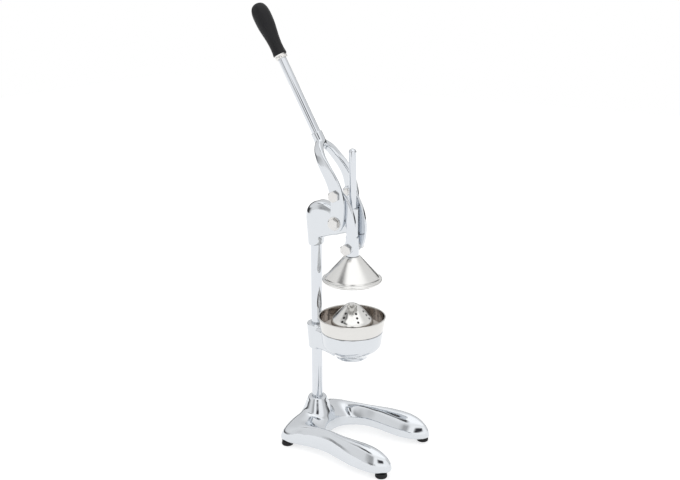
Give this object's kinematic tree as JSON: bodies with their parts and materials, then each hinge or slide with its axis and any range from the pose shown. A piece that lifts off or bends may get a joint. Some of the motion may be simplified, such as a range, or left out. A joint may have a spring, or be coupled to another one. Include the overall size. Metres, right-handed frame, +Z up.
{
  "type": "citrus press juicer",
  "caption": "Upright hand-lever citrus press: a cone on a sliding rod squeezes fruit onto a perforated reamer in a bowl over a U-shaped cast foot.",
  "frame": {"origin": "on the surface the press stands on, below the middle of its overall width and depth", "axes": "+Z up along the post; -Y forwards, the way the lever swings down, so the post is towards +Y; X across the press along the pivots"},
  "size_m": [0.18, 0.3133, 0.7561],
  "materials": {
    "chrome_casting": "polished chrome plating on castings, softly rippled mirror",
    "chrome_steel": "polished chrome plating on steel bar and tube",
    "stainless": "spun stainless sheet, fine rings and a satin sheen",
    "fastener": "bright zinc-nickel hex fasteners, slightly dull",
    "grip_black": "moulded black grip with a soft sheen",
    "foot_rubber": "matte black rubber"
  },
  "bodies": {
    "stand": {"base_casting": "chrome_casting", "foot_rear_left": "foot_rubber", "foot_rear_right": "foot_rubber", "foot_front_left": "foot_rubber", "foot_front_right": "foot_rubber", "post": "chrome_steel", "post_washer": "fastener", "post_bolt": "fastener", "bowl_holder": "chrome_casting", "holder_set_screw": "fastener", "juice_bowl": "stainless", "reamer": "stainless", "head_casting": "chrome_casting", "head_set_screw": "fastener", "pivot_bolt": "fastener", "pivot_nut": "fastener", "pivot_washer_left": "fastener", "pivot_washer_right": "fastener"},
    "lever": {"lever_fork": "chrome_casting", "lever_tube": "chrome_steel", "grip_ferrule": "stainless", "grip": "grip_black", "fork_bolt_left": "fastener", "fork_bolt_right": "fastener"},
    "plunger": {"plunger_rod": "chrome_steel", "plunger_hub": "chrome_steel", "press_cone": "stainless", "cone_washer": "fastener", "cone_screw": "fastener", "cross_bolt": "fastener", "cross_nut": "fastener", "hub_washer_left": "fastener", "hub_washer_right": "fastener"},
    "links": {"link_left": "chrome_steel", "link_right": "chrome_steel", "link_pin_left": "fastener", "link_pin_right": "fastener"}
  },
  "joints": [
    {"name": "lever_hinge", "type": "hinge", "parent": "stand", "child": "lever", "pos_m": [0, -0.0193, 0.407], "axis": [1, 0, 0], "range_deg": [0, 125]},
    {"name": "plunger_slide", "type": "slide", "parent": "stand", "child": "plunger", "axis": [0, 0, -1], "range_m": [0, 0.07225]},
    {"name": "link_hinge", "type": "hinge", "parent": "plunger", "child": "links", "pos_m": [0, -0.0378, 0.363], "axis": [1, 0, 0], "range_deg": [0, 23.7]}
  ],
  "couplings": [
    {"joint": "plunger_slide", "follows": "lever_hinge", "m_per_rad": 0.033113},
    {"joint": "link_hinge", "follows": "lever_hinge", "ratio": 0.18933}
  ]
}
